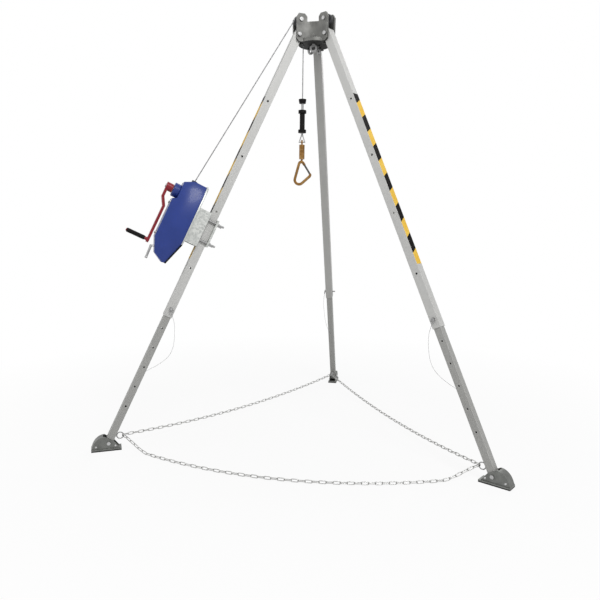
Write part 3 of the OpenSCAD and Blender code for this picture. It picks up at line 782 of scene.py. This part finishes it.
steel = zinc_steel("zinc_steel", (0.36, 0.36, 0.36))
chain_zinc = zinc_steel("chain_zinc", (0.46, 0.46, 0.45), 220.0)
rope_steel = wire_rope()
for side in SIDES:
    lanyard(side, rope_steel)
cable(rope_steel)
chain_run("front", "left", "right", chain_zinc, (-TIE_Z, -TIE_Z), FRONT_COUNT, FRONT_BOW)
chain_run("left", "back", "left", chain_zinc, (TIE_Z, TIE_Z))
chain_run("right", "right", "back", chain_zinc, (TIE_Z, -TIE_Z))
stripes = hazard_tape()
bright_steel = zinc_steel("bright_steel", (0.55, 0.55, 0.55))
for side in SIDES:
    tape(side, stripes)
    foot_rivets(side, bright_steel)

# Finishes of the solid parts
galvanised = galvanised_sheet()
nylon = moulded_nylon()
sole_rubber = rubber("sole_rubber", (0.006, 0.006, 0.006), (0.03, 0.03, 0.028))
grip_rubber = rubber("grip_rubber", (0.006, 0.005, 0.005), (0.018, 0.016, 0.016))
blue = gloss_paint("blue_enamel", (0.022, 0.050, 0.27), (0.017, 0.042, 0.23), (0.40, 0.40, 0.42))
red = gloss_paint("red_enamel", (0.29, 0.010, 0.022), (0.23, 0.008, 0.017), (0.45, 0.36, 0.34))
foot_steel = zinc_steel("foot_steel", (0.19, 0.195, 0.185), 45.0, 0.36)
gold = yellow_chromate()
gate_steel = zinc_steel("gate_steel", (0.10, 0.095, 0.09), 60.0, 0.3)
FINISHES = {
    cast_aluminium(): ["head_casting"],
    steel: [
        "leg_pivot_bolts", "sheave_axles", "anchor_eyes", "clamp_studs", "housing_screws",
        "carry_handle", "gear_axles", "crank_shaft", "idler_gear", "cable_drum", "triangle_link",
        "ferrule",
    ],
    rope_steel: ["cable_winding"],
    galvanised: ["winch_bracket", "clamp_bar"],
    winch_plate(): ["winch_back_plate"],
    blue: ["winch_housing", "shaft_bearing"],
    red: ["crank_arm"],
    grip_rubber: ["crank_grip", "stop_cup", "line_grip"],
    nylon: ["cable_guide"],
    gold: ["swivel", "hook_body"],
    gate_steel: ["hook_gate"],
}
for side in SIDES:
    FINISHES[steel] += [name + side for name in ("chain_eye_", "lock_pin_")]
    FINISHES.setdefault(bright_steel, []).append("ankle_bolt_" + side)
    FINISHES[nylon].append("sheave_" + side)
    FINISHES.setdefault(foot_steel, []).append("foot_" + side)
    FINISHES.setdefault(sole_rubber, []).append("sole_" + side)
    CRISP += [name + side for name in ("upper_tube_", "lower_tube_", "foot_", "sole_")]
    upper_tone, lower_tone = TUBE_TONES[side]
    FINISHES[extruded_aluminium(side, "tube_aluminium_" + side, upper_tone)] = ["upper_tube_" + side]
    FINISHES[extruded_aluminium(side, "inner_aluminium_" + side, lower_tone)] = ["lower_tube_" + side]


def finish_solid(node, material, ease_m):
    """Gives a CAD solid its finish, with edges forged round, eased or left crisp."""
    solid = NODES[node]
    solid.data.materials.clear()
    solid.data.materials.append(material)
    weld = solid.modifiers.new("weld", "WELD")
    weld.merge_threshold = WELD_M
    if node in FORGED:
        grain, passes = FORGED[node]
        melt = solid.modifiers.new("melt", "REMESH")
        melt.mode = "VOXEL"
        melt.voxel_size = grain
        melt.use_smooth_shade = True
        rounding = solid.modifiers.new("rounding", "SMOOTH")
        rounding.factor = ROUNDING
        rounding.iterations = passes
    elif ease_m:
        ease = solid.modifiers.new("ease", "BEVEL")
        ease.width = ease_m
        ease.segments = 2
        ease.limit_method = "ANGLE"
        ease.angle_limit = math.radians(EASE_ANGLE)
        level = solid.modifiers.new("level", "WEIGHTED_NORMAL")
        level.weight = FLAT_WEIGHT
    else:
        crisp = solid.modifiers.new("crisp", "EDGE_SPLIT")
        crisp.split_angle = math.radians(EASE_ANGLE)
    solid.data.polygons.foreach_set("use_smooth", [True] * len(solid.data.polygons))


for material, names in FINISHES.items():
    for node in names:
        finish_solid(node, material, 0.0 if node in CRISP else EASED.get(node, EASE_M))


# Floor, light and camera
def studio():
    """A pale floor that the camera sees as white, apart from the shadow on it."""
    f = Finish("pale_floor", specular=0.1)
    f.set("Base Color", FLOOR_TONE)
    f.set("Roughness", 0.9)
    white = f.node("ShaderNodeEmission", {}, {"Color": (1, 1, 1), "Strength": 1.0})
    away = f.node("ShaderNodeVectorMath", {"operation": "LENGTH"}, {0: f.place}, "Value")
    fade = f.spread(away, FLOOR_NEAR, FLOOR_FAR, FLOOR_WHITE, 1.0)
    lit = Value(f, f.shader.outputs[0])
    surface = f.node("ShaderNodeMixShader", {}, {0: f.seen_directly() * fade, 1: lit, 2: white})
    f.tree.links.new(surface.socket, f.tree.nodes["Material Output"].inputs["Surface"])
    floor = bpy.data.meshes.new("floor")
    shape = bmesh.new()
    bmesh.ops.create_circle(shape, cap_ends=True, segments=64, radius=FLOOR_R)
    shape.to_mesh(floor)
    shape.free()
    piece = new_piece("floor", floor, f.material)
    piece.location.z = -FLOOR_DROP


def sky():
    """White surroundings that light the part less than they show."""
    world = bpy.data.worlds.new("studio")
    bpy.context.scene.world = world
    world.use_nodes = True
    ground = world.node_tree.nodes["Background"]
    air = NodeTree(world.node_tree)
    air.fill(ground.inputs["Color"], (1, 1, 1))
    air.fill(ground.inputs["Strength"], SKY_LIGHT + air.seen_directly() * (1 - SKY_LIGHT))


def lamp(name, place, target, size, power):
    light = bpy.data.lights.new(name, "AREA")
    light.shape = "RECTANGLE"
    light.size, light.size_y = size
    light.energy = power
    piece = new_piece(name, light)
    piece.location = place
    piece.rotation_euler = (Vector(target) - Vector(place)).to_track_quat("-Z", "Y").to_euler()


bpy.context.scene.view_settings.view_transform = "Standard"
studio()
sky()
for name, setting in LAMPS.items():
    lamp(name, *setting)


def camera():
    data = bpy.data.cameras.new("camera")
    data.sensor_width = SENSOR_MM
    data.lens = FOCAL_PIXELS / FRAME_PIXELS * data.sensor_width
    piece = new_piece("camera", data)
    level = math.cos(CAMERA_PITCH)
    ahead = Vector((
        -math.sin(CAMERA_HEADING) * level,
        math.cos(CAMERA_HEADING) * level,
        -math.sin(CAMERA_PITCH),
    ))
    right = ahead.cross(Vector((0, 0, 1))).normalized()
    up = right.cross(ahead)
    right, up = (
        right * math.cos(CAMERA_ROLL) + up * math.sin(CAMERA_ROLL),
        up * math.cos(CAMERA_ROLL) - right * math.sin(CAMERA_ROLL),
    )
    place = Vector((
        CAMERA_FAR * math.sin(CAMERA_AZIMUTH),
        AXIS_Y - CAMERA_FAR * math.cos(CAMERA_AZIMUTH),
        CAMERA_HEIGHT,
    ))
    turn = Matrix((right, up, -ahead)).transposed().to_4x4()
    piece.matrix_world = Matrix.Translation(place) @ turn
    bpy.context.scene.camera = piece


camera()
